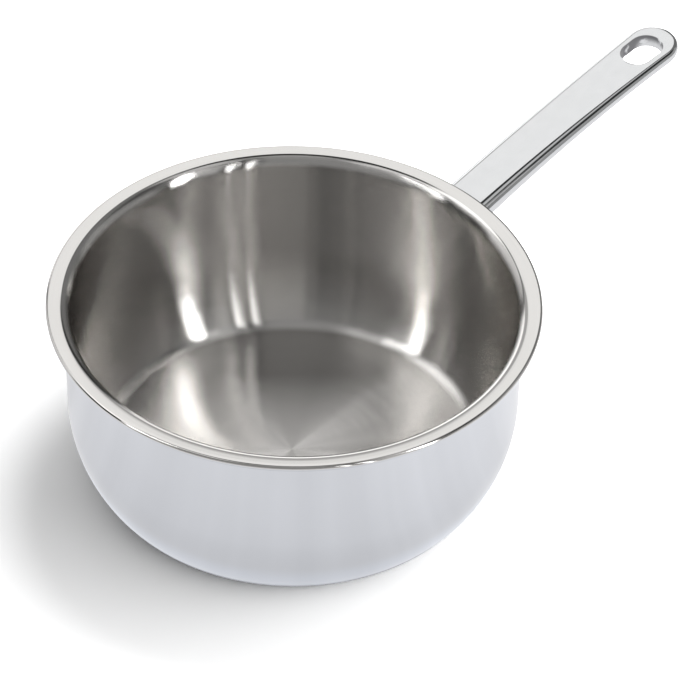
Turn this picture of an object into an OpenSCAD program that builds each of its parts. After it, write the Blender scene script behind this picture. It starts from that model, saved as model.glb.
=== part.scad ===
// Saucier pan: a clad bowl of three bonded metal layers with a flared pouring lip,
// and a cast stick handle that is spot-welded to the wall below the lip.
// Millimetres. The origin is at the centre of the base's underside, +Z is up,
// and the handle points along +X.

/* [Bowl] */
// Outer radius of the upright wall
wall_r = 95.5; // [80:0.5:115]
// Height from the base's underside to the top of the lip
pan_h = 88; // [70:1:120]
// Distance by which the pouring lip stands out beyond the wall
lip_w = 7.5; // [5.5:0.1:12]
// Profile radius of the curve that turns the wall in towards the base
belly_r = 59; // [48:1:70]
// Height at which the wall begins to turn in
belly_z = 38; // [32:1:42]
// Profile radius between the belly and the flat base
foot_r = 10; // [6:0.5:14]
// Profile radius of the hollow under the lip
nook_r = 2.5; // [1.5:0.1:3.2]
// Angle at which the lip still rises towards its edge
lip_rise = 3; // [0:0.5:8]

/* [Layers] */
// Thickness of the stainless skin inside
inner_t = 0.5; // [0.4:0.05:0.8]
// Thickness of the aluminium core
core_t = 1.5; // [1:0.1:2.5]
// Thickness of the magnetic stainless skin outside
outer_t = 0.5; // [0.4:0.05:0.8]
// Width of the lip's edge where the skins close over the end of the core
rim_seal = 1.2; // [0.5:0.1:2]

/* [Handle] */
// Length of the handle beyond the bowl's wall
handle_l = 141; // [110:1:190]
// Drop from the top of the lip to the handle's top face at the wall
handle_drop = 6.2; // [6:0.1:12]
// Angle at which the top face leaves the wall
handle_rise = 13; // [0:0.5:25]
// Radius of the arch of the handle, seen from the side
arch_r = 1225; // [600:5:3000]
// Width at the waist
waist_w = 23; // [16:0.5:30]
// Width of the rounded end
end_w = 24; // [20:0.5:32]
// Distance from the bowl's wall to the waist
waist_l = 60; // [45:1:75]
// Thickness where the handle leaves its weld pad
root_t = 10; // [7:0.1:13]
// Thickness at the rounded end
end_t = 6.2; // [5.6:0.1:8]
// Edge radius of the top face near the bowl
shoulder_root_r = 4.6; // [2:0.1:5]
// Edge radius of the top face at the rounded end
shoulder_end_r = 2.6; // [1:0.1:3]
// Edge radius of the underside near the bowl
under_root_r = 4.4; // [2:0.1:5]
// Edge radius of the underside at the rounded end
under_end_r = 2.8; // [1:0.1:3]

/* [Hanging hole] */
// Length of the slot
hole_l = 20.4; // [14:0.2:24]
// Width of the slot
hole_w = 14.8; // [8:0.2:15]
// Distance from the middle of the slot to the end of the handle
hole_end = 18.6; // [15:0.2:24]

/* [Weld pad] */
// Width of the pad against the wall
pad_w = 42; // [34:1:50]
// Height of the pad against the wall
pad_h = 27; // [20:1:32]
// Thickness of the pad in front of the wall, before it flares into the handle
pad_t = 1.4; // [1:0.1:3]
// Length of the flare from the pad into the handle
flare_l = 10; // [6:0.5:20]

/* [Spot welds] */
// Diameter of a weld nugget
weld_d = 5; // [3:0.1:6]
// Depth to which a nugget reaches into the outer skin
weld_in = 0.3; // [0.1:0.05:0.35]
// Depth to which a nugget reaches into the pad
weld_out = 1.2; // [0.5:0.1:1.5]
// Distance between the two columns of welds, along the wall
weld_gap_y = 30; // [24:0.5:34]
// Distance between two welds of a column
weld_gap_z = 8; // [6:0.5:9]
// Number of welds in each column
weld_rows = 3; // [1:1:3]

/* [Hidden] */
$fn = 96;

wall_t = outer_t + core_t + inner_t;
nose_r = wall_t / 2;

// Centre of the belly curve, centre of the foot fillet and the angle where they meet
belly_c = [wall_r - belly_r, belly_z];
foot_c = [belly_c.x + sqrt(pow(belly_r - foot_r, 2) - pow(belly_z - foot_r, 2)), foot_r];
foot_a = atan2(foot_c.y - belly_c.y, foot_c.x - belly_c.x);

// Centre of the lip's bend, and the length of its straight run up to the round edge
lip_run = (lip_w - nose_r - nook_r + (nook_r + nose_r) * sin(lip_rise)) / cos(lip_rise);
bend_c = [wall_r + nook_r,
          pan_h - nose_r - (nook_r + nose_r) * cos(lip_rise) - lip_run * sin(lip_rise)];

// Steps along each curve of the profile
foot_steps = 8;
belly_steps = 14;
bend_steps = 9;
nose_steps = 6;

function polar(c, r, a) = [c.x + r * cos(a), c.y + r * sin(a)];
function arc(c, r, a0, a1, steps) = [for (i = [0 : steps]) polar(c, r, a0 + (a1 - a0) * i / steps)];
function reversed(pts) = [for (i = [len(pts) - 1 : -1 : 0]) pts[i]];

// A point of the lip, a run beyond its bend, at depth d from the bowl's outer surface
function lip_point(d, run) =
    polar(bend_c, nook_r + d, 90 + lip_rise) + run * [cos(lip_rise), sin(lip_rise)];

// The bowl's profile at depth d from its outer surface, from the axis to a run along the lip
function bowl_path(d, run) = concat(
    [[0, d]],
    arc(foot_c, foot_r - d, -90, foot_a, foot_steps),
    arc(belly_c, belly_r - d, foot_a, 0, belly_steps),
    arc(bend_c, nook_r + d, 180, 90 + lip_rise, bend_steps),
    [lip_point(d, run)]
);

// One skin: from its free surface round half of the lip's edge, and back against the core
module skin(free_d, core_d, from_a) {
    rotate_extrude() polygon(concat(
        bowl_path(free_d, lip_run),
        arc(lip_point(nose_r, lip_run), nose_r, from_a, lip_rise, nose_steps),
        [lip_point(nose_r, lip_run - rim_seal)],
        reversed(bowl_path(core_d, lip_run - rim_seal))
    ));
}

module inner_skin() {
    color([0.80, 0.80, 0.79]) skin(wall_t, outer_t + core_t, lip_rise + 90);
}

module aluminium_core() {
    color([0.87, 0.88, 0.89]) rotate_extrude() polygon(concat(
        bowl_path(outer_t, lip_run - rim_seal),
        reversed(bowl_path(outer_t + core_t, lip_run - rim_seal))
    ));
}

module outer_skin() {
    color([0.83, 0.85, 0.87]) difference() {
        skin(0, outer_t, lip_rise - 90);
        weld_nuggets();
    }
}

// The handle is lofted through stations. Each has its edge point seen from above,
// and the edge is rounded inwards from there at the top and at the underside.
// The first station lies inside the bowl's wall, which then trims the loft.
handle_end = wall_r + handle_l;
end_c = handle_end - end_w / 2;
waist_x = wall_r + waist_l;
flare_x0 = wall_r + pad_t;
flare_x1 = wall_r + flare_l;
flare_power = 2.6;
root_inset = 8;
root_x = wall_r - root_inset;
flare_steps = 14;
bar_steps = 12;
end_steps = 14;
edge_steps = 5;

function share(x) = max(0, min(1, (x - wall_r) / (end_c - wall_r)));
function flare(x) = pow(max(0, min(1, (flare_x1 - x) / (flare_x1 - flare_x0))), flare_power);
function mix(a, b, k) = a + (b - a) * k;

// Height of the top face, thickness, half width and edge radii at a distance x from the axis
function top_z(x) =
    pan_h - handle_drop + tan(handle_rise) * (x - wall_r) - pow(x - wall_r, 2) / (2 * arch_r);
function bar_half_w(x) =
    waist_w / 2 + (end_w - waist_w) / 2 * pow((x - waist_x) / (end_c - waist_x), 2);
function bar_t(x) = mix(end_t, root_t, pow(1 - share(x), 2));
function half_w(x) = mix(bar_half_w(x), pad_w / 2, flare(x));
function thick(x) = mix(bar_t(x), pad_h, flare(x));
function shoulder_r(x) = mix(shoulder_root_r, shoulder_end_r, share(x));
function under_r(x) = mix(under_root_r, under_end_r, share(x));

// Stations as [x, y of the edge, direction of its outward normal]
stations = concat(
    [[root_x, half_w(root_x), 90]],
    [for (i = [0 : flare_steps]) let (x = mix(flare_x0, flare_x1, i / flare_steps)) [x, half_w(x), 90]],
    [for (i = [1 : bar_steps]) let (x = mix(flare_x1, end_c, i / bar_steps)) [x, half_w(x), 90]],
    [for (i = [1 : end_steps]) let (a = 90 - 90 * i / end_steps)
        [end_c + end_w / 2 * cos(a), end_w / 2 * sin(a), a]]
);

// The rounded edge at a station, as [inset, drop below the top face]
function edge(x) = concat(
    [for (i = [0 : edge_steps]) let (a = 90 - 90 * i / edge_steps)
        shoulder_r(x) * [1 - cos(a), 1 - sin(a)]],
    [for (i = [0 : edge_steps]) let (a = -90 * i / edge_steps)
        [under_r(x) * (1 - cos(a)), thick(x) - under_r(x) * (1 + sin(a))]]
);
edge_count = 2 * edge_steps + 2;

// Points of one station on one side, where the side is +1 or -1
function side_points(s, side) = [for (e = edge(min(s.x, end_c)))
    [s.x - e.x * cos(s.z), side * max(0, s.y - e.x * sin(s.z)),
     top_z(s.x - e.x * cos(s.z)) - e.y]];

module handle_bar() {
    last = len(stations) - 1;
    right = [for (s = stations) side_points(s, -1)];
    left = [for (i = [0 : last - 1]) side_points(stations[i], 1)];
    points = [for (ring = concat(right, left)) each ring];
    n = edge_count;
    // Both sides share the points of the last station
    function r(i, j) = i * n + j;
    function l(i, j) = i == last ? r(i, j) : (last + 1 + i) * n + j;
    sides = [for (i = [0 : last - 1], j = [0 : n - 2]) each [
        [r(i, j), r(i, j + 1), r(i + 1, j + 1)], [r(i, j), r(i + 1, j + 1), r(i + 1, j)],
        [l(i, j), l(i + 1, j + 1), l(i, j + 1)], [l(i, j), l(i + 1, j), l(i + 1, j + 1)]
    ]];
    faces = [for (i = [0 : last - 2]) each [
        [l(i, 0), r(i, 0), r(i + 1, 0)], [l(i, 0), r(i + 1, 0), l(i + 1, 0)],
        [l(i, n - 1), r(i + 1, n - 1), r(i, n - 1)], [l(i, n - 1), l(i + 1, n - 1), r(i + 1, n - 1)]
    ]];
    tips = [
        [l(last - 1, 0), r(last - 1, 0), r(last, 0)],
        [l(last - 1, n - 1), r(last, n - 1), r(last - 1, n - 1)]
    ];
    root = [concat([for (j = [0 : n - 1]) l(0, j)], [for (j = [n - 1 : -1 : 0]) r(0, j)])];
    polyhedron(points, concat(sides, faces, tips, root));
}

// The slot stands square to the top face where it passes through
hole_x = handle_end - hole_end;
hole_slope = atan(tan(handle_rise) - (hole_x - wall_r) / arch_r);

module hanging_slot() {
    offset_x = (hole_l - hole_w) / 2;
    cut_h = 4 * end_t;
    translate([hole_x, 0, top_z(hole_x)]) rotate([0, -hole_slope, 0]) {
        for (side = [-1, 1]) translate([side * offset_x, 0, 0])
            cylinder(h = cut_h, d = hole_w, center = true);
        cube([2 * offset_x, hole_w, cut_h], center = true);
    }
}

module handle() {
    color([0.86, 0.87, 0.87]) difference() {
        handle_bar();
        cylinder(h = 2 * pan_h, r = wall_r, $fn = 180);
        hanging_slot();
        weld_nuggets();
    }
}

// Two columns of nuggets, one on each wing of the pad, each square to the wall
weld_z = top_z(wall_r) - pad_h / 2;
weld_a = asin(weld_gap_y / 2 / wall_r);

module weld_nuggets() {
    for (side = [-1, 1], row = [0 : weld_rows - 1])
        rotate([0, 0, side * weld_a])
            translate([wall_r - weld_in, 0, weld_z + (row - (weld_rows - 1) / 2) * weld_gap_z])
                rotate([0, 90, 0]) cylinder(h = weld_in + weld_out, d = weld_d, $fn = 32);
}

module spot_welds() {
    color([0.62, 0.62, 0.62]) weld_nuggets();
}

inner_skin();
aluminium_core();
outer_skin();
handle();
spot_welds();
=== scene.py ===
"""Saucier pan: polished bowl, pouring lip and stick handle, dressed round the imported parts."""
import math

import bmesh
import bpy
from bpy.props import FloatProperty, FloatVectorProperty, PointerProperty
from mathutils import Matrix, Vector


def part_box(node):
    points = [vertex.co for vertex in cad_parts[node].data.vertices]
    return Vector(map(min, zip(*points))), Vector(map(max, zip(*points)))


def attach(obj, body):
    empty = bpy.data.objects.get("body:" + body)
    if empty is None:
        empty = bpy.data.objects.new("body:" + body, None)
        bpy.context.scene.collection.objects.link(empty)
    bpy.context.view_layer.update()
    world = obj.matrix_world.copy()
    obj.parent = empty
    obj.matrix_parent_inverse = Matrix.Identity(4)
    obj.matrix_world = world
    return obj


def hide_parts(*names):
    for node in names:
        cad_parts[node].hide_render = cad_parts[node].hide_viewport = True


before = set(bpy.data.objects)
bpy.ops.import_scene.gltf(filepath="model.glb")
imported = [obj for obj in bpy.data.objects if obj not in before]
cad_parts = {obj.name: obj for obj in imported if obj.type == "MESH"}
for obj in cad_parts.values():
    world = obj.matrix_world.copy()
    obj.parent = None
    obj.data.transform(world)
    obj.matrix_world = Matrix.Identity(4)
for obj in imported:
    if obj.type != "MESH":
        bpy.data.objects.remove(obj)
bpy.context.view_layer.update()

bl_info = {
    "name": "Saucier Pan",
    "version": (1, 0, 0),
    "blender": (4, 5, 0),
    "location": "3D View > Sidebar > Pan",
    "description": "Models a clad steel saucier pan round its packed parts, with its studio",
    "category": "Object",
}

ROOT = "root"
WELD_DISTANCE = 1e-6
UP = Vector((0, 0, 1))
# Keeps a distance from the axis above zero where something is divided by it
LEAST = 1e-4
# The lip's polish sets in between these heights above the middle of its bend
POLISH_START, POLISH_END = 0.0036, 0.0048
# Steps of a full turn, and the angle from which an edge stays sharp
TURN_STEPS = 192
CREASE = math.radians(40)


# Sizes and finishes that a user would change


def length(name, description, default):
    return FloatProperty(
        name=name, description=description, default=default, unit="LENGTH", precision=6
    )


def angle(name, description, degrees):
    return FloatProperty(
        name=name, description=description, default=math.radians(degrees), subtype="ANGLE"
    )


def share(name, description, default):
    return FloatProperty(
        name=name, description=description, default=default, min=0, max=1, subtype="FACTOR"
    )


def metal_colour(name, description, default):
    return FloatVectorProperty(
        name=name, description=description, default=default, min=0, max=1, subtype="COLOR"
    )


class BowlSizes(bpy.types.PropertyGroup):
    """Sizes of the bowl's profile."""

    wall_radius: length("Wall radius", "Outer radius of the upright wall", 0.0955)
    height: length("Height", "From the base to the top of the lip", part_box("inner_skin")[1].z)
    lip_width: length("Lip width", "How far the lip stands out beyond the wall", 0.0075)
    belly_radius: length("Belly radius", "Curve that turns the wall in towards the base", 0.059)
    belly_height: length("Belly height", "Where the wall begins to turn in", 0.038)
    foot_radius: length("Foot radius", "Curve between the belly and the flat base", 0.010)
    nook_radius: length("Nook radius", "Hollow under the lip", 0.0025)
    lip_rise: angle("Lip rise", "Angle at which the lip still rises", 3)
    inner_skin: length("Inner skin", "Thickness of the steel inside", 0.0005)
    core: length("Core", "Thickness of the aluminium between the skins", 0.0015)
    outer_skin: length("Outer skin", "Thickness of the steel outside", 0.0005)
    rim_seal: length("Rim seal", "Width in which the skins close over the core", 0.0012)


class HandleSizes(bpy.types.PropertyGroup):
    """Sizes of the stick handle."""

    reach: length("Reach", "Length beyond the wall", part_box("handle")[1].x - 0.0955)
    drop: length("Drop", "From the lip down to the top face at the wall", 0.0062)
    rise: angle("Rise", "Slope of the top face at the wall", 13)
    arch_radius: length("Arch radius", "Arch seen from the side", 1.225)
    waist_width: length("Waist width", "Width at the narrowest place", 0.023)
    waist_distance: length("Waist distance", "From the wall to the waist", 0.060)
    end_width: length("End width", "Width of the rounded end", 0.024)
    root_thickness: length("Root thickness", "Thickness next to the weld pad", 0.010)
    end_thickness: length("End thickness", "Thickness at the rounded end", 0.0062)
    shoulder_root: length("Shoulder at root", "Upper edge radius near the bowl", 0.0046)
    shoulder_end: length("Shoulder at end", "Upper edge radius at the end", 0.0026)
    under_root: length("Under edge at root", "Lower edge radius near the bowl", 0.0044)
    under_end: length("Under edge at end", "Lower edge radius at the end", 0.0028)
    slot_length: length("Slot length", "Length of the hanging slot", 0.0204)
    slot_width: length("Slot width", "Width of the hanging slot", 0.0148)
    slot_to_end: length("Slot to end", "From the slot's middle to the handle's end", 0.0186)
    slot_edge: length("Slot edge", "Rounding of the slot's edges", 0.0005)
    pad_width: length("Pad width", "Width of the weld pad", 0.042)
    pad_height: length("Pad height", "Height of the weld pad", 0.027)
    pad_thickness: length("Pad thickness", "Pad in front of the wall", 0.0014)
    flare_length: length("Flare length", "From the wall to the end of the flare", 0.010)


class Finishes(bpy.types.PropertyGroup):
    """Colours and polish of the metals."""

    inside_colour: metal_colour("Inside", "Satin steel inside the bowl", (0.60, 0.588, 0.572))
    outside_colour: metal_colour("Outside", "Polished steel of the bowl", (0.595, 0.607, 0.632))
    handle_colour: metal_colour("Handle", "Polished cast steel", (0.60, 0.605, 0.61))
    # Dark colour inside the slot: rough cast steel, with painted shade of the recess
    slot_cast_and_shade_colour: metal_colour("Cast skin", "Rough steel inside the slot", (0.16, 0.16, 0.165))
    core_colour: metal_colour("Core", "Aluminium between the skins", (0.80, 0.81, 0.82))
    weld_colour: metal_colour("Welds", "Fused steel", (0.42, 0.42, 0.43))
    inside_roughness: share("Inside roughness", "Satin inside the bowl", 0.22)
    inside_grain: share("Inside grain", "How far the circular brushing spreads light", 0.8)
    lip_roughness: share("Lip roughness", "Polish of the lip", 0.10)
    outside_roughness: share("Outside roughness", "Mirror polish outside", 0.06)
    handle_roughness: share("Handle roughness", "Polish of the casting", 0.10)


class Studio(bpy.types.PropertyGroup):
    """Camera and surroundings."""

    focal_length: FloatProperty(
        name="Focal length", description="Lens of the camera in millimetres", default=185.294,
        subtype="DISTANCE_CAMERA",
    )
    camera_distance: length("Camera distance", "From the centre of the lip", 1.4514)
    camera_height: angle("Camera height", "Angle at which the camera looks down", 41.12)
    camera_roll: angle("Camera roll", "Turn of the camera about its view", 1.604)
    handle_turn: angle(
        "Handle turn", "Handle's direction, from the picture's right towards its back", 46.5
    )
    floor_size: length("Floor size", "Side of the white floor", 12.0)
    floor_white: FloatProperty(
        name="Floor white", description="How white the lit floor is in the picture", default=1.72
    )
    floor_glow: share("Floor glow", "Brightness of the floor as the metal shows it", 1.0)
    fill_level: FloatProperty(
        name="Fill level", description="Strength of the surround between the soft boxes",
        default=0.04,
    )


class PanSettings(bpy.types.PropertyGroup):
    """Everything that can be changed on the pan."""

    bowl: PointerProperty(type=BowlSizes)
    handle: PointerProperty(type=HandleSizes)
    finish: PointerProperty(type=Finishes)
    studio: PointerProperty(type=Studio)


# Shaders


class Wire:
    """Output of a shader node, with which Python expressions add Math nodes."""

    def __init__(self, graph, socket):
        self.graph = graph
        self.socket = socket

    def math(self, operation, *values):
        return self.graph.math(operation, self, *values)

    def __add__(self, other):
        return self.math("ADD", other)

    def __sub__(self, other):
        return self.math("SUBTRACT", other)

    def __mul__(self, other):
        return self.math("MULTIPLY", other)

    def __truediv__(self, other):
        return self.math("DIVIDE", other)

    def __radd__(self, other):
        return self.graph.math("ADD", other, self)

    def __rsub__(self, other):
        return self.graph.math("SUBTRACT", other, self)

    def __rmul__(self, other):
        return self.graph.math("MULTIPLY", other, self)

    def __abs__(self):
        return self.math("ABSOLUTE")

    def root(self):
        return self.math("SQRT")

    def smooth(self, start, end):
        """0 before start and 1 after end, with a soft step between. Start may be the larger."""
        low, high, falls = (start, end, False) if start < end else (end, start, True)
        step = self.graph.make(
            "ShaderNodeMapRange",
            {"interpolation_type": "SMOOTHSTEP"},
            {"Value": self, "From Min": low, "From Max": high},
        )
        return 1.0 - step if falls else step


class Graph:
    """A node tree that is filled from Python."""

    def __init__(self, owner):
        owner.use_nodes = True
        self.tree = owner.node_tree
        self.tree.nodes.clear()

    def make(self, kind, settings=None, sockets=None, output=0):
        """Adds a node, with its settings first and then the values or links of its sockets."""
        node = self.tree.nodes.new(kind)
        for name, value in (settings or {}).items():
            setattr(node, name, value)
        for name, value in (sockets or {}).items():
            socket = node.inputs[name]
            if isinstance(value, Wire):
                self.tree.links.new(value.socket, socket)
            elif socket.type == "RGBA":
                socket.default_value = (*value[:3], 1.0)
            else:
                socket.default_value = value
        return Wire(self, node.outputs[output])

    def math(self, operation, *values):
        return self.make("ShaderNodeMath", {"operation": operation}, dict(enumerate(values)))

    def point(self, output="Object"):
        """The texture coordinates as a vector."""
        return self.make("ShaderNodeTexCoord", None, None, output)

    def place(self, output="Object"):
        """The x, y and z of the texture coordinates."""
        split = self.make("ShaderNodeSeparateXYZ", None, {0: self.point(output)})
        return split, *(Wire(self, split.socket.node.outputs[k]) for k in (1, 2))

    def vector(self, x, y, z):
        return self.make("ShaderNodeCombineXYZ", None, {0: x, 1: y, 2: z})

    def noise(self, vector, scale, detail=2.0, roughness=0.5):
        return self.make(
            "ShaderNodeTexNoise", {"noise_dimensions": "3D"},
            {"Vector": vector, "Scale": scale, "Detail": detail, "Roughness": roughness},
        )

    def blend(self, factor, first, second):
        """Mix of two colours, whose sockets are numbers 6 and 7 of the node."""
        return self.make(
            "ShaderNodeMix", {"data_type": "RGBA"}, {0: factor, 6: first, 7: second}, 2
        )

    def shades(self, factor, colour, darker, lighter):
        """Runs from a darker to a lighter shade of a colour."""
        dark, light = (tuple(min(1, k * c) for c in colour) for k in (darker, lighter))
        return self.blend(factor, dark, light)

    def ray(self, kind):
        """A Light Path value."""
        return self.make("ShaderNodeLightPath", None, None, kind)

    def unscattered(self):
        """1 on a path that no diffuse surface has scattered, and 0 after that."""
        return 1.0 - self.ray("Diffuse Depth").math("MINIMUM", 1.0)

    def bump(self, height, strength, distance):
        return self.make(
            "ShaderNodeBump", None, {"Height": height, "Strength": strength, "Distance": distance}
        )

    def metal(self, **sockets):
        """A metal shader. Socket names are written with underscores for spaces."""
        named = {name.replace("_", " "): value for name, value in sockets.items()}
        return self.make("ShaderNodeBsdfPrincipled", None, {"Metallic": 1.0, **named})

    def finish(self, surface, kind="ShaderNodeOutputMaterial"):
        node = self.tree.nodes.new(kind)
        self.tree.links.new(surface.socket, node.inputs["Surface"])


def new_material(name):
    material = bpy.data.materials.new(name)
    return material, Graph(material)


def turned(graph):
    """Coordinates of a spun surface: run along the profile, and direction from the axis."""
    x, y, z = graph.place()
    radius = (x * x + y * y).root()
    divisor = radius.math("MAXIMUM", LEAST)
    return radius + z, x / divisor, y / divisor


def rings(graph, run, east, north, fineness, drift, detail, roughness=0.5):
    """Noise in rings round the axis, so many to the metre, which change slowly along each ring."""
    point = graph.vector(run * fineness, east * drift, north * drift)
    return graph.noise(point, 1.0, detail, roughness)


def satin_steel(finish, bend_height):
    """Steel inside the bowl, brushed in circles round the axis, with a polished lip."""
    material, graph = new_material("satin_steel")
    around = turned(graph)
    lines = rings(graph, *around, 2500, 4.0, 2.0)
    bands = rings(graph, *around, 240, 1.2, 3.0, 0.6)
    handling = graph.noise(graph.point(), 22.0, 3.0)
    tint = graph.shades(
        handling * 0.4 + bands * 0.3 + lines * 0.3, finish.inside_colour, 0.92, 1.08
    )
    unevenness = (bands - 0.5) * 0.04
    satin = graph.make("ShaderNodeBsdfAnisotropic", {"distribution": "BECKMANN"}, {
        "Color": tint,
        "Roughness": finish.inside_roughness + unevenness,
        "Anisotropy": finish.inside_grain,
    })
    polished = graph.metal(Base_Color=tint, Roughness=finish.lip_roughness + unevenness)
    height = graph.place()[2]
    on_lip = height.smooth(bend_height + POLISH_START, bend_height + POLISH_END)
    graph.finish(graph.make("ShaderNodeMixShader", None, {0: on_lip, 1: satin, 2: polished}))
    return material


def mirror_steel(finish):
    """Steel outside the bowl, polished to a mirror with the faint rings of its wheel."""
    material, graph = new_material("mirror_steel")
    around = turned(graph)
    wheel = rings(graph, *around, 420, 1.5, 3.0, 0.6)
    swell = rings(graph, *around, 24, 1.6, 1.0)
    handling = graph.noise(graph.point(), 30.0, 3.0)
    graph.finish(graph.metal(
        Base_Color=graph.shades(handling, finish.outside_colour, 0.97, 1.03),
        Roughness=finish.outside_roughness + (wheel - 0.5) * 0.03 + (handling - 0.5) * 0.03,
        Normal=graph.bump(wheel * 0.1 + swell, 0.3, 0.0002),
    ))
    return material


def cast_steel(finish, size, slot_middle):
    """Cast steel of the handle, polished along its length and left as cast inside the slot, where a
    dark colour paints shade into the recess.
    """
    material, graph = new_material("cast_steel")
    x, y, z = graph.place()
    strokes = graph.noise(graph.vector(x * 14, y * 900, z * 900), 1.0, 3.0, 0.6)
    skin = graph.noise(graph.point(), 160.0, 3.0)
    polished = graph.shades(skin, finish.handle_colour, 0.96, 1.04)
    straight = (size.slot_length - size.slot_width) / 2
    past_straight = (abs(x - slot_middle) - straight).math("MAXIMUM", 0.0)
    from_middle = (past_straight * past_straight + y * y).root()
    edge = size.slot_width / 2
    in_slot = from_middle.smooth(edge + size.slot_edge, edge)
    # Inside the slot a dark colour paints shade into the recess, broken by lighter, smoother
    # patches
    lighter_smoother_patches = skin.smooth(0.50, 0.62)
    cast_and_painted_shade = graph.blend(lighter_smoother_patches, finish.slot_cast_and_shade_colour, finish.handle_colour)
    graph.finish(graph.metal(
        Base_Color=graph.blend(in_slot, polished, cast_and_painted_shade),
        Roughness=(
            finish.handle_roughness + in_slot * (1.0 - lighter_smoother_patches) * 0.25
            + (strokes - 0.5) * 0.06 + (skin - 0.5) * 0.04
        ),
        Normal=graph.bump(strokes * 0.3 + skin, 0.06, 0.0002),
    ))
    return material


def core_aluminium(finish):
    """Rolled aluminium of the core."""
    material, graph = new_material("rolled_aluminium")
    grain = graph.noise(graph.point(), 400.0, 3.0)
    tint = graph.shades(grain, finish.core_colour, 0.95, 1.0)
    graph.finish(graph.metal(Base_Color=tint, Roughness=0.35 + grain * 0.15))
    return material


def weld_steel(finish):
    """Fused steel of the spot welds."""
    material, graph = new_material("fused_steel")
    grain = graph.noise(graph.point(), 900.0, 4.0)
    graph.finish(graph.metal(
        Base_Color=graph.shades(grain, finish.weld_colour, 0.8, 1.0),
        Roughness=0.4 + grain * 0.2,
        Normal=graph.bump(grain, 0.3, 0.0001),
    ))
    return material


# Bowl


def at(x, z):
    return Vector((x, 0, z))


def polar(centre, radius, turn):
    return centre + radius * at(math.cos(turn), math.sin(turn))


class BowlProfile:
    """Curves of the bowl in the XZ plane, at any depth from its outer surface."""

    FLOOR_ROWS, FOOT_STEPS, BELLY_STEPS, WALL_ROWS = 14, 12, 28, 14
    BEND_STEPS, LIP_ROWS, NOSE_STEPS = 12, 3, 10
    # The bonded faces, which nothing shows, have this many times fewer steps
    HIDDEN = 4

    def __init__(self, size):
        self.size = size
        self.wall = size.inner_skin + size.core + size.outer_skin
        self.nose = self.wall / 2
        reach = size.belly_radius - size.foot_radius
        fall = size.belly_height - size.foot_radius
        self.belly = at(size.wall_radius - size.belly_radius, size.belly_height)
        self.foot = at(self.belly.x + math.sqrt(reach ** 2 - fall ** 2), size.foot_radius)
        self.foot_turn = math.atan2(self.foot.z - self.belly.z, self.foot.x - self.belly.x)
        rise, hollow = size.lip_rise, size.nook_radius + self.nose
        self.lip_run = (
            size.lip_width - self.nose - size.nook_radius + hollow * math.sin(rise)
        ) / math.cos(rise)
        self.bend = at(
            size.wall_radius + size.nook_radius,
            size.height - self.nose - hollow * math.cos(rise) - self.lip_run * math.sin(rise),
        )

    def lip(self, depth, run):
        """Point on the lip, a run beyond its bend."""
        rise = self.size.lip_rise
        return polar(self.bend, self.size.nook_radius + depth, math.pi / 2 + rise) + run * at(
            math.cos(rise), math.sin(rise)
        )

    def path(self, depth, run, hidden=False):
        """Corners from the axis to the lip, with the arc's centre and the steps before each."""
        size = self.size
        corners = [
            (at(0, depth), None, 0),
            (at(self.foot.x, depth), None, self.FLOOR_ROWS),
            (
                polar(self.foot, size.foot_radius - depth, self.foot_turn), self.foot,
                self.FOOT_STEPS,
            ),
            (polar(self.belly, size.belly_radius - depth, 0), self.belly, self.BELLY_STEPS),
            (at(size.wall_radius - depth, self.bend.z), None, self.WALL_ROWS),
            (self.lip(depth, 0), self.bend, self.BEND_STEPS),
            (self.lip(depth, run), None, self.LIP_ROWS),
        ]
        if hidden:
            return [(end, centre, math.ceil(steps / self.HIDDEN)) for end, centre, steps in corners]
        return corners


class Pen:
    """Draws a profile in the XZ plane: its tip is extruded along lines and spun along arcs."""

    def __init__(self, bm, start):
        self.bm = bm
        self.tip = bmesh.ops.create_vert(bm, co=start)["vert"][0]

    def go(self, end, centre=None, steps=1):
        if centre is None:
            start = self.tip.co.copy()
            for row in range(1, steps + 1):
                self.tip = bmesh.ops.extrude_vert_indiv(self.bm, verts=[self.tip])["verts"][0]
                self.tip.co = start.lerp(end, row / steps)
        else:
            old, new = self.tip.co - centre, end - centre
            turn = math.atan2(old.x * new.z - old.z * new.x, old.x * new.x + old.z * new.z)
            self.tip = bmesh.ops.spin(
                self.bm, geom=[self.tip], cent=centre, axis=(0, -1, 0), angle=turn, steps=steps,
                use_duplicate=False,
            )["geom_last"][0]

    def follow(self, path):
        for corner in path[1:]:
            self.go(*corner)

    def follow_back(self, path):
        for (end, _, _), (_, centre, steps) in zip(path[-2::-1], path[:0:-1]):
            self.go(end, centre, steps)


def smooth_shell(bm):
    """Merges doubles, points the faces outwards and keeps creases sharp."""
    bmesh.ops.remove_doubles(bm, verts=bm.verts, dist=WELD_DISTANCE)
    bmesh.ops.recalc_face_normals(bm, faces=bm.faces)
    for face in bm.faces:
        face.smooth = True
    for edge in bm.edges:
        edge.smooth = edge.is_manifold and edge.calc_face_angle() < CREASE


def add_piece(name, bm, material, node):
    """Makes a finished piece from a bmesh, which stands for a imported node."""
    mesh = bpy.data.meshes.new(name)
    bm.to_mesh(mesh)
    bm.free()
    piece = bpy.data.objects.new(name, mesh)
    bpy.context.scene.collection.objects.link(piece)
    mesh.materials.append(material)
    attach(piece, ROOT)
    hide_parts(node)
    return piece


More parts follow.
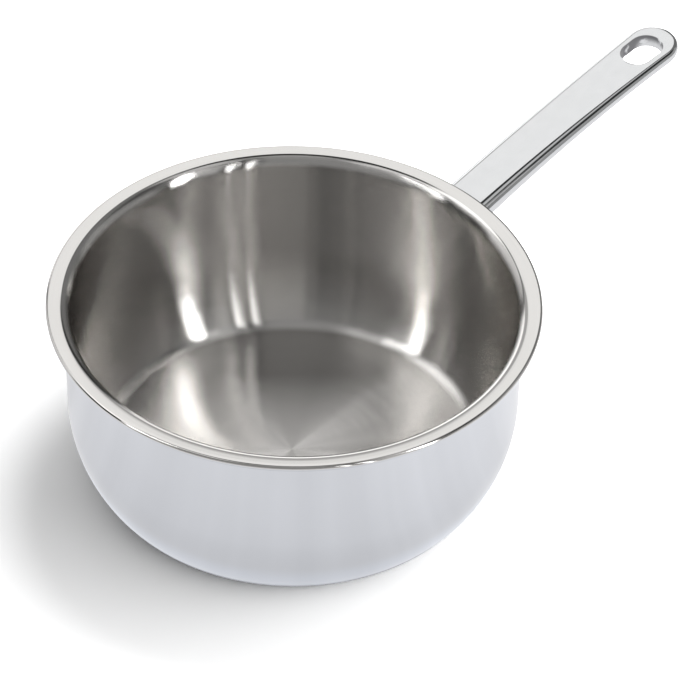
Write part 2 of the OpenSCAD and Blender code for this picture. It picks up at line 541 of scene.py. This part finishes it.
def spun_skin(profile, free_depth, core_depth, nose_turn):
    """One skin of the bowl: free surface, half of the lip's round edge, and face on the core."""
    bm = bmesh.new()
    edge = profile.lip(profile.nose, profile.lip_run)
    sealed = profile.lip_run - profile.size.rim_seal
    free = profile.path(free_depth, profile.lip_run)
    bonded = profile.path(core_depth, sealed, hidden=True)
    pen = Pen(bm, free[0][0])
    pen.follow(free)
    pen.go(polar(edge, profile.nose, nose_turn), edge, profile.NOSE_STEPS)
    pen.go(profile.lip(profile.nose, sealed))
    pen.go(bonded[-1][0])
    pen.follow_back(bonded)
    bmesh.ops.spin(
        bm, geom=bm.verts[:] + bm.edges[:], cent=(0, 0, 0), axis=UP, angle=2 * math.pi,
        steps=TURN_STEPS, use_merge=True, use_duplicate=False,
    )
    smooth_shell(bm)
    return bm


class PAN_OT_bowl_inside(bpy.types.Operator):
    """Model the satin steel inside the bowl and on top of its lip"""

    bl_idname = "pan.bowl_inside"
    bl_label = "Inside of the Bowl"

    def execute(self, context):
        pan = context.scene.pan
        profile = BowlProfile(pan.bowl)
        bm = spun_skin(
            profile, profile.wall, profile.wall - pan.bowl.inner_skin, pan.bowl.lip_rise
        )
        steel = satin_steel(pan.finish, profile.bend.z)
        add_piece("bowl_inside", bm, steel, "inner_skin")
        return {"FINISHED"}


class PAN_OT_bowl_outside(bpy.types.Operator):
    """Model the mirror-polished steel outside the bowl"""

    bl_idname = "pan.bowl_outside"
    bl_label = "Outside of the Bowl"

    def execute(self, context):
        pan = context.scene.pan
        profile = BowlProfile(pan.bowl)
        bm = spun_skin(profile, 0, pan.bowl.outer_skin, pan.bowl.lip_rise)
        add_piece("bowl_outside", bm, mirror_steel(pan.finish), "outer_skin")
        return {"FINISHED"}


# Handle


def between(first, second, k):
    return first + (second - first) * k


class HandleShape:
    """Height, width and thickness of the handle at a distance from the bowl's axis."""

    FLARE_POWER = 2.6
    ROOT_INSET = 0.008
    FLARE_STEPS, BAR_STEPS, END_STEPS, EDGE_STEPS = 22, 26, 24, 8

    def __init__(self, size, bowl):
        self.size, self.bowl = size, bowl
        self.wall = bowl.wall_radius
        self.end = self.wall + size.reach
        self.end_centre = self.end - size.end_width / 2
        self.flare_start = self.wall + size.pad_thickness
        self.flare_end = self.wall + size.flare_length
        self.slot_middle = self.end - size.slot_to_end

    def share(self, x):
        return max(0, min(1, (x - self.wall) / (self.end_centre - self.wall)))

    def flare(self, x):
        left = (self.flare_end - x) / (self.flare_end - self.flare_start)
        return max(0, min(1, left)) ** self.FLARE_POWER

    def top(self, x):
        along = x - self.wall
        slope = math.tan(self.size.rise) * along
        return self.bowl.height - self.size.drop + slope - along ** 2 / (2 * self.size.arch_radius)

    def slope(self, x):
        return math.atan(math.tan(self.size.rise) - (x - self.wall) / self.size.arch_radius)

    def half_width(self, x):
        size = self.size
        waist = self.wall + size.waist_distance
        swell = ((x - waist) / (self.end_centre - waist)) ** 2
        bar = size.waist_width / 2 + (size.end_width - size.waist_width) / 2 * swell
        return between(bar, size.pad_width / 2, self.flare(x))

    def thickness(self, x):
        size = self.size
        bar = between(size.end_thickness, size.root_thickness, (1 - self.share(x)) ** 2)
        return between(bar, size.pad_height, self.flare(x))

    def stations(self):
        """Stations from the root to the end, as x, y of the edge and direction of its normal."""
        root = self.wall - self.ROOT_INSET
        straight = [root]
        straight += [
            between(self.flare_start, self.flare_end, k / self.FLARE_STEPS)
            for k in range(self.FLARE_STEPS + 1)
        ]
        straight += [
            between(self.flare_end, self.end_centre, k / self.BAR_STEPS)
            for k in range(1, self.BAR_STEPS + 1)
        ]
        stations = [(x, self.half_width(x), math.pi / 2) for x in straight]
        radius = self.size.end_width / 2
        for k in range(1, self.END_STEPS + 1):
            turn = math.pi / 2 * (1 - k / self.END_STEPS)
            stations.append(
                (self.end_centre + radius * math.cos(turn), radius * math.sin(turn), turn)
            )
        return stations

    def section(self, x, y, turn):
        """Closed section at a station: down the right side, and up the left."""
        size = self.size
        here = min(x, self.end_centre)
        shoulder = between(size.shoulder_root, size.shoulder_end, self.share(here))
        under = between(size.under_root, size.under_end, self.share(here))
        side = []
        for k in range(self.EDGE_STEPS + 1):
            a = math.pi / 2 * k / self.EDGE_STEPS
            side.append((shoulder * (1 - math.sin(a)), shoulder * (1 - math.cos(a))))
        for k in range(self.EDGE_STEPS + 1):
            a = math.pi / 2 * k / self.EDGE_STEPS
            side.append(
                (under * (1 - math.cos(a)), self.thickness(here) - under * (1 - math.sin(a)))
            )
        points = []
        for inset, fall in side:
            px = x - inset * math.cos(turn)
            points.append(Vector((px, -max(0, y - inset * math.sin(turn)), self.top(px) - fall)))
        return points + [Vector((p.x, -p.y, p.z)) for p in reversed(points)]


def grow(bm, ring):
    """Extrudes a closed ring of vertices and returns the new ring in the same order."""
    edges = [bm.edges.get((a, b)) for a, b in zip(ring, ring[1:] + ring[:1])]
    made = bmesh.ops.extrude_edge_only(bm, edges=edges)["geom"]
    fresh = {v for v in made if isinstance(v, bmesh.types.BMVert)}
    return [
        next(e.other_vert(v) for e in v.link_edges if e.other_vert(v) in fresh) for v in ring
    ]


# Cutters are this many times as tall as what they cut
CUT_THROUGH = 4
WALL_CUT_SEGMENTS, SLOT_SEGMENTS, SLOT_EDGE_SEGMENTS = 720, 72, 4
# An edge bends at least this much at the slot's rim
RIM_BEND = math.radians(60)


def lofted_bar(shape):
    """The handle's bar, with its root still inside the wall and without its slot."""
    bm = bmesh.new()
    stations = shape.stations()
    count = 4 * (shape.EDGE_STEPS + 1)
    ring = bmesh.ops.create_circle(bm, segments=count, radius=1)["verts"]
    for k, station in enumerate(stations):
        if k:
            ring = grow(bm, ring)
        else:
            bmesh.ops.contextual_create(bm, geom=ring)
        for vert, point in zip(ring, shape.section(*station)):
            vert.co = point
    bmesh.ops.remove_doubles(bm, verts=bm.verts, dist=WELD_DISTANCE)
    bmesh.ops.dissolve_degenerate(bm, edges=bm.edges, dist=WELD_DISTANCE)
    bmesh.ops.recalc_face_normals(bm, faces=bm.faces)
    return bm


def handle_cutter(shape):
    """The bowl's wall and the hanging slot, which are cut out of the bar."""
    bm = bmesh.new()
    bmesh.ops.create_cone(
        bm, cap_ends=True, segments=WALL_CUT_SEGMENTS, radius1=shape.wall, radius2=shape.wall,
        depth=CUT_THROUGH * shape.bowl.height,
    )
    size = shape.size
    slot = bmesh.ops.create_cone(
        bm, cap_ends=True, segments=SLOT_SEGMENTS, radius1=size.slot_width / 2,
        radius2=size.slot_width / 2, depth=CUT_THROUGH * size.end_thickness,
        matrix=Matrix.Rotation(math.pi / SLOT_SEGMENTS, 4, "Z"),
    )["verts"]
    stretch = (size.slot_length - size.slot_width) / 2
    for vert in slot:
        vert.co.x += math.copysign(stretch, vert.co.x)
    middle = shape.slot_middle
    place = Matrix.Translation((middle, 0, shape.top(middle)))
    bmesh.ops.transform(
        bm, verts=slot, matrix=place @ Matrix.Rotation(-shape.slope(middle), 4, "Y")
    )
    bmesh.ops.recalc_face_normals(bm, faces=bm.faces)
    return bm


def as_object(name, bm):
    mesh = bpy.data.meshes.new(name)
    bm.to_mesh(mesh)
    bm.free()
    thing = bpy.data.objects.new(name, mesh)
    bpy.context.scene.collection.objects.link(thing)
    return thing


def baked(thing):
    """The bmesh of an object with its modifiers applied. The object is deleted."""
    graph = bpy.context.evaluated_depsgraph_get()
    mesh = bpy.data.meshes.new_from_object(thing.evaluated_get(graph))
    bm = bmesh.new()
    bm.from_mesh(mesh)
    bpy.data.meshes.remove(mesh)
    bpy.data.objects.remove(thing)
    return bm


def slot_rims(bm, shape):
    """Edges where the slot's wall meets the top face and the underside."""
    middle = Vector((shape.slot_middle, 0, shape.top(shape.slot_middle)))
    near = shape.size.slot_length * 0.75
    return [
        edge for edge in bm.edges
        if edge.is_manifold and edge.calc_face_angle() > RIM_BEND
        and ((edge.verts[0].co + edge.verts[1].co) / 2 - middle).length < near
        and abs(edge.verts[0].co.y) < shape.size.slot_width / 2 + WELD_DISTANCE
    ]


class PAN_OT_handle(bpy.types.Operator):
    """Model the cast handle with its weld pad, flare, rounded edges and hanging slot"""

    bl_idname = "pan.handle"
    bl_label = "Handle"

    def execute(self, context):
        pan = context.scene.pan
        shape = HandleShape(pan.handle, pan.bowl)
        bar = as_object("bar", lofted_bar(shape))
        cutter = as_object("cutter", handle_cutter(shape))
        cut = bar.modifiers.new("cut", "BOOLEAN")
        cut.operation, cut.solver, cut.object = "DIFFERENCE", "EXACT", cutter
        bm = baked(bar)
        bpy.data.objects.remove(cutter)
        bmesh.ops.bevel(
            bm, geom=slot_rims(bm, shape), offset=pan.handle.slot_edge, offset_type="OFFSET",
            segments=SLOT_EDGE_SEGMENTS, profile=0.5, affect="EDGES", material=-1,
            clamp_overlap=True,
        )
        smooth_shell(bm)
        steel = cast_steel(pan.finish, pan.handle, shape.slot_middle)
        piece = add_piece("stick_handle", bm, steel, "handle")
        weigh = piece.modifiers.new("flat faces", "WEIGHTED_NORMAL")
        weigh.keep_sharp = True
        return {"FINISHED"}


class PAN_OT_hidden_layers(bpy.types.Operator):
    """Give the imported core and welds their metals"""

    bl_idname = "pan.hidden_layers"
    bl_label = "Core and Welds"

    def execute(self, context):
        finish = context.scene.pan.finish
        for node, material in (
            ("aluminium_core", core_aluminium(finish)), ("spot_welds", weld_steel(finish)),
        ):
            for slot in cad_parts[node].material_slots:
                slot.material = material
        return {"FINISHED"}


# Studio


FLOOR_PAINT = (0.9, 0.9, 0.9)


def floor_paint(studio):
    """White floor with the pan's shadow in the picture, which the metal shows as a glowing sheet
    with painted light and shade.
    """
    material, graph = new_material("floor_paint")
    white = graph.blend(graph.ray("Is Camera Ray"), FLOOR_PAINT, (studio.floor_white,) * 3)
    lit = graph.make("ShaderNodeBsdfDiffuse", None, {"Color": white})
    x, y, _ = graph.place()
    distance = (x * x + y * y).root().math("MAXIMUM", LEAST)
    turn = studio.handle_turn
    rightward = (x * math.cos(turn) - y * math.sin(turn)) / distance
    away = (x * math.sin(turn) + y * math.cos(turn)) / distance
    # Painted light and shade on the glowing sheet: brighter on the right, painted shade at the back
    # left and under the bowl, and painted shading of folds
    painted_shade_back_left = (away * 0.5 - rightward * 0.87).smooth(0.90, 0.995)
    painted_fold_shading = graph.noise(graph.vector(rightward * 5.0, away * 5.0, 0.0), 1.0, 2.0) - 0.5
    level = 1.03 + rightward.smooth(0.2, 1.0) * 0.12 - painted_shade_back_left * 0.14 + painted_fold_shading * 0.16
    # Away from the bowl the sheet brightens, which leaves painted shade under the bowl
    beyond_painted_shade = distance.smooth(0.07, 0.18)
    # Next to the base it has a painted bluish light band and a painted contact shadow, a dark line,
    # which the metal reflects
    painted_blue_band = distance.smooth(0.100, 0.088)
    painted_contact_shadow = distance.smooth(0.0845, 0.0820)
    light = level * (0.80 + beyond_painted_shade * 0.20 + painted_blue_band * 0.04) * (1.0 - painted_contact_shadow * 0.6)
    colour = graph.vector(
        light, light * (1.0 + painted_blue_band * 0.02), light * (1.02 + painted_blue_band * 0.05)
    )
    glow = graph.make(
        "ShaderNodeEmission", None, {"Color": colour, "Strength": studio.floor_glow}
    )
    mirrored = graph.ray("Is Glossy Ray") * graph.unscattered()
    graph.finish(graph.make("ShaderNodeMixShader", None, {0: mirrored, 1: lit, 2: glow}))
    return material


# Middle, width, lower and upper height and soft edge in degrees, and strength. The middle is
# counted from the picture's right, with 90 at its back
SOFT_BOXES = {
    "right strip": (328.5, 7, 12, 41, 2, 20.0),
    "right strip top": (328.5, 8, 41, 58, 2, 1.5),
    "right wing": (339, 10, 30, 58, 3, 0.4),
    "left strip": (197.5, 6.5, 24, 60, 2, 7.5),
    "left wing": (208, 9, 34, 60, 3, 0.8),
    "narrow strip": (293.5, 2, 2, 50, 1, 5.5),
    "second narrow strip": (303, 2, 2, 50, 1, 7.5),
    "front panel": (250, 80, 4, 40, 8, 0.36),
    "upper front panel": (250, 80, 40, 62, 8, 0.22),
    "front right panel": (315, 14, 2, 58, 5, 0.6),
    "back panel": (98, 56, 36, 48, 4, 1.25),
    "upper back panel": (102, 66, 48, 61, 4, 1.25),
    "low back panel": (104, 44, 2, 20, 6, 1.9),
    "middle back panel": (104, 44, 20, 36, 4, 0.5),
    "low back left panel": (150, 36, 2, 40, 6, 0.9),
    "back left panel": (155, 40, 40, 62, 6, 1.9),
    "right panel": (5, 50, 2, 37, 8, 0.4),
    "back right panel": (50, 44, 2, 62, 8, 0.18),
    "ceiling": (10, 80, 62, 78, 8, 0.7),
    "left ceiling": (185, 80, 62, 78, 8, 1.0),
    "front ceiling": (270, 80, 62, 78, 8, 0.4),
    "zenith": (0, 400, 80, 100, 8, 0.45),
}
# Azimuth and height in degrees, distance, width and depth in metres, and radiance
FLOOR_LAMPS = {
    "side lamp": (17, 10.5, 1.6, 5.5, 0.60, 12.1),
    "key lamp": (69, 68, 2.0, 0.63, 0.63, 9.7),
    "overhead lamp": (0, 90, 1.7, 5.9, 5.9, 0.55),
}


class StudioSky:
    """Patches of the surround, by direction from the pan."""

    def __init__(self, graph, handle_turn):
        self.east, self.north, up = graph.place("Generated")
        self.height = up.math("ARCSINE")
        self.handle_turn = handle_turn

    def patch(self, azimuth, width, low, high, soft):
        """Mask of a patch: middle from the picture's right, width, heights and soft edge."""
        middle = math.radians(azimuth) - self.handle_turn
        ahead = self.east * math.cos(middle) + self.north * math.sin(middle)
        aside = self.north * math.cos(middle) - self.east * math.sin(middle)
        off = abs(aside.math("ARCTAN2", ahead))
        half, edge = math.radians(width / 2), math.radians(soft / 2)
        sides = off.smooth(half + edge, half - edge)
        floor_side = self.height.smooth(math.radians(low) - edge, math.radians(low) + edge)
        sky_side = self.height.smooth(math.radians(high) + edge, math.radians(high) - edge)
        return sides * floor_side * sky_side


def paint_sky(world, studio):
    """What the metal shows: soft boxes round the pan with dark gaps between them."""
    graph = Graph(world)
    sky = StudioSky(graph, studio.handle_turn)
    level = studio.fill_level
    for azimuth, width, low, high, soft, gain in SOFT_BOXES.values():
        level = gain * sky.patch(azimuth, width, low, high, soft) + level
    seen = graph.ray("Is Camera Ray")
    shown = seen + level * (1.0 - seen) * graph.unscattered()
    graph.finish(
        graph.make("ShaderNodeBackground", None, {"Color": (1, 1, 1), "Strength": shown}),
        "ShaderNodeOutputWorld",
    )
    world.cycles_visibility.diffuse = False


def add_lamp(scene, studio, name, azimuth, height, distance, width, depth, level):
    """Area lamp for the floor, aimed at the pan, which the metal doesn't show. Round if square."""
    turn = math.radians(azimuth) - studio.handle_turn
    up = math.radians(height)
    away = Vector((math.cos(turn) * math.cos(up), math.sin(turn) * math.cos(up), math.sin(up)))
    data = bpy.data.lights.new(name, "AREA")
    is_round = width == depth
    data.shape = "ELLIPSE" if is_round else "RECTANGLE"
    data.size, data.size_y = width, depth
    area = width * depth * (math.pi / 4 if is_round else 1)
    data.energy = level * area * math.pi
    lamp = bpy.data.objects.new(name, data)
    lamp.location = away * distance
    lamp.rotation_mode = "QUATERNION"
    lamp.rotation_quaternion = away.to_track_quat("Z", "Y")
    lamp.visible_glossy = lamp.visible_camera = False
    scene.collection.objects.link(lamp)


# Side of the picture, and the place in it of the lip's centre, in pixels
PICTURE = 680.0
LIP_PLACE = (294.53, 300.04)


def aim_camera(camera, studio, lip_centre):
    """Places the camera so that the lip's centre lands on its place in the picture."""
    turn, down, roll = studio.handle_turn, studio.camera_height, studio.camera_roll
    right = Vector((math.cos(turn), -math.sin(turn), 0))
    away = Vector((math.sin(turn), math.cos(turn), 0))
    view = away * math.cos(down) - UP * math.sin(down)
    up = away * math.sin(down) + UP * math.cos(down)
    across = right * math.cos(roll) + up * math.sin(roll)
    upward = up * math.cos(roll) - right * math.sin(roll)
    scale = studio.focal_length / camera.data.sensor_width * PICTURE
    x, y = (LIP_PLACE[0] - PICTURE / 2) / scale, (PICTURE / 2 - LIP_PLACE[1]) / scale
    depth = studio.camera_distance / math.sqrt(1 + x * x + y * y)
    camera.location = lip_centre - depth * (x * across + y * upward + view)
    camera.rotation_mode = "QUATERNION"
    camera.rotation_quaternion = Matrix((across, upward, -view)).transposed().to_quaternion()


class PAN_OT_studio(bpy.types.Operator):
    """Set up the white floor, the surround and the camera"""

    bl_idname = "pan.studio"
    bl_label = "Studio"

    def execute(self, context):
        scene, pan = context.scene, context.scene.pan
        studio = pan.studio
        bm = bmesh.new()
        bmesh.ops.create_grid(bm, x_segments=8, y_segments=8, size=studio.floor_size / 2)
        floor = as_object("studio_floor", bm)
        floor.data.materials.append(floor_paint(studio))
        world = bpy.data.worlds.new("studio")
        scene.world = world
        paint_sky(world, studio)
        for name, lamp in FLOOR_LAMPS.items():
            add_lamp(scene, studio, name, *lamp)
        data = bpy.data.cameras.new("camera")
        data.lens = studio.focal_length
        camera = bpy.data.objects.new("camera", data)
        scene.collection.objects.link(camera)
        profile = BowlProfile(pan.bowl)
        aim_camera(camera, studio, at(0, profile.lip(profile.nose, profile.lip_run).z))
        scene.camera = camera
        scene.view_settings.view_transform = "Standard"
        return {"FINISHED"}


class PAN_PT_parts(bpy.types.Panel):
    """Lists the pan's pieces and its sizes"""

    bl_idname = "PAN_PT_parts"
    bl_label = "Saucier Pan"
    bl_space_type = "VIEW_3D"
    bl_region_type = "UI"
    bl_category = "Pan"

    def draw(self, context):
        layout = self.layout
        for operator in STEPS:
            layout.operator(operator.bl_idname)
        pan = context.scene.pan
        for title, group in (
            ("Bowl", pan.bowl), ("Handle", pan.handle),
            ("Finish", pan.finish), ("Studio", pan.studio),
        ):
            box = layout.box()
            box.label(text=title)
            for name in group.__annotations__:
                box.prop(group, name)


GROUPS = (BowlSizes, HandleSizes, Finishes, Studio, PanSettings)
STEPS = (
    PAN_OT_bowl_inside, PAN_OT_bowl_outside, PAN_OT_handle, PAN_OT_hidden_layers, PAN_OT_studio,
)


def register():
    for cls in (*GROUPS, *STEPS, PAN_PT_parts):
        bpy.utils.register_class(cls)
    bpy.types.Scene.pan = PointerProperty(type=PanSettings)


def unregister():
    del bpy.types.Scene.pan
    for cls in (PAN_PT_parts, *reversed(STEPS), *reversed(GROUPS)):
        bpy.utils.unregister_class(cls)


def main():
    register()
    bpy.ops.pan.bowl_inside()
    bpy.ops.pan.bowl_outside()
    bpy.ops.pan.handle()
    bpy.ops.pan.hidden_layers()
    bpy.ops.pan.studio()


if __name__ == "__main__":
    main()
